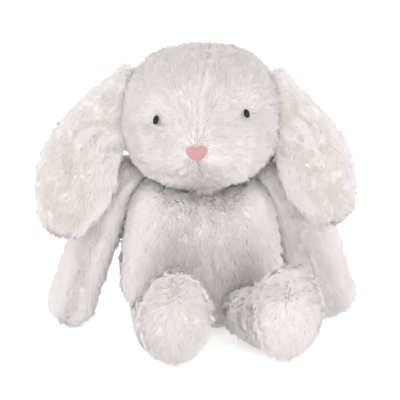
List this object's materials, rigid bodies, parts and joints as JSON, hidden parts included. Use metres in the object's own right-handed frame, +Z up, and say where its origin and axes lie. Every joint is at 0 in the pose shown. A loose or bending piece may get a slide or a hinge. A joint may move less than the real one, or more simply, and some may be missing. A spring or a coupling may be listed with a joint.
{
  "type": "plush bunny",
  "caption": "Seated lop-eared plush bunny in cream fur fabric, with a pink stitched nose, black bead eyes, a head that tilts, and ears, arms and legs that swing at their seams.",
  "frame": {"origin": "middle of the flat seat, on the surface the toy sits on", "axes": "+Z up, the face looks along -Y, +X is towards the toy's own left hand, which a viewer in front sees on the right"},
  "size_m": [0.2443, 0.2193, 0.2196],
  "materials": {
    "fur_fabric": "matte long-pile fur fabric, cream",
    "ear_lining": "matte fur fabric, faintly pink",
    "polyester_filling": "loose white polyester fibre",
    "bean_bag_cloth": "cloth bag of plastic pellets",
    "black_bead": "gloss",
    "washer_nylon": "satin",
    "pink_thread": "satin-stitched embroidery thread, dusty pink"
  },
  "bodies": {
    "torso": {"torso_front_left": "fur_fabric", "torso_front_right": "fur_fabric", "torso_back_left": "fur_fabric", "torso_back_right": "fur_fabric", "seat_panel": "fur_fabric", "torso_stuffing": "polyester_filling", "seat_bean_bag": "bean_bag_cloth", "tail_cover": "fur_fabric", "tail_stuffing": "polyester_filling"},
    "neck": {"neck_stuffing": "polyester_filling"},
    "head": {"face_left": "fur_fabric", "face_right": "fur_fabric", "head_back_left": "fur_fabric", "head_back_right": "fur_fabric", "head_stuffing": "polyester_filling", "eye_left": "black_bead", "eye_washer_left": "washer_nylon", "eye_right": "black_bead", "eye_washer_right": "washer_nylon", "nose": "pink_thread", "mouth_thread": "pink_thread"},
    "ear_left": {"ear_left_back": "fur_fabric", "ear_left_lining": "ear_lining"},
    "ear_right": {"ear_right_back": "fur_fabric", "ear_right_lining": "ear_lining"},
    "arm_left": {"arm_left_outer": "fur_fabric", "arm_left_inner": "fur_fabric", "arm_left_stuffing": "polyester_filling"},
    "arm_right": {"arm_right_outer": "fur_fabric", "arm_right_inner": "fur_fabric", "arm_right_stuffing": "polyester_filling"},
    "leg_left": {"leg_left_outer": "fur_fabric", "leg_left_inner": "fur_fabric", "leg_left_stuffing": "polyester_filling"},
    "leg_right": {"leg_right_outer": "fur_fabric", "leg_right_inner": "fur_fabric", "leg_right_stuffing": "polyester_filling"}
  },
  "joints": [
    {"name": "head_nod", "type": "hinge", "parent": "torso", "child": "neck", "pos_m": [0, 0.002, 0.1115], "axis": [1, 0, 0], "range_deg": [-10, 2]},
    {"name": "head_tilt", "type": "hinge", "parent": "neck", "child": "head", "pos_m": [0, 0.002, 0.1115], "axis": [0, 1, 0], "range_deg": [-4, 6]},
    {"name": "ear_left_lift", "type": "hinge", "parent": "head", "child": "ear_left", "pos_m": [-0.06804, -0.014, 0.18926], "axis": [0, 1, 0], "range_deg": [0, 75]},
    {"name": "ear_right_lift", "type": "hinge", "parent": "head", "child": "ear_right", "pos_m": [0.06747, -0.014, 0.18906], "axis": [0, -1, 0], "range_deg": [0, 75]},
    {"name": "arm_left_lift", "type": "hinge", "parent": "torso", "child": "arm_left", "pos_m": [-0.07406, 0.01, 0.098], "axis": [0, 1, 0], "range_deg": [0, 80]},
    {"name": "arm_right_lift", "type": "hinge", "parent": "torso", "child": "arm_right", "pos_m": [0.07354, 0.01, 0.098], "axis": [0, -1, 0], "range_deg": [0, 80]},
    {"name": "leg_left_swing", "type": "hinge", "parent": "torso", "child": "leg_left", "pos_m": [-0.02684, -0.06591, 0.0236], "axis": [0.9903, 0.1392, 0], "range_deg": [-20, 75]},
    {"name": "leg_right_swing", "type": "hinge", "parent": "torso", "child": "leg_right", "pos_m": [0.04079, -0.05881, 0.0236], "axis": [0.9135, 0.4067, 0], "range_deg": [-20, 75]}
  ]
}
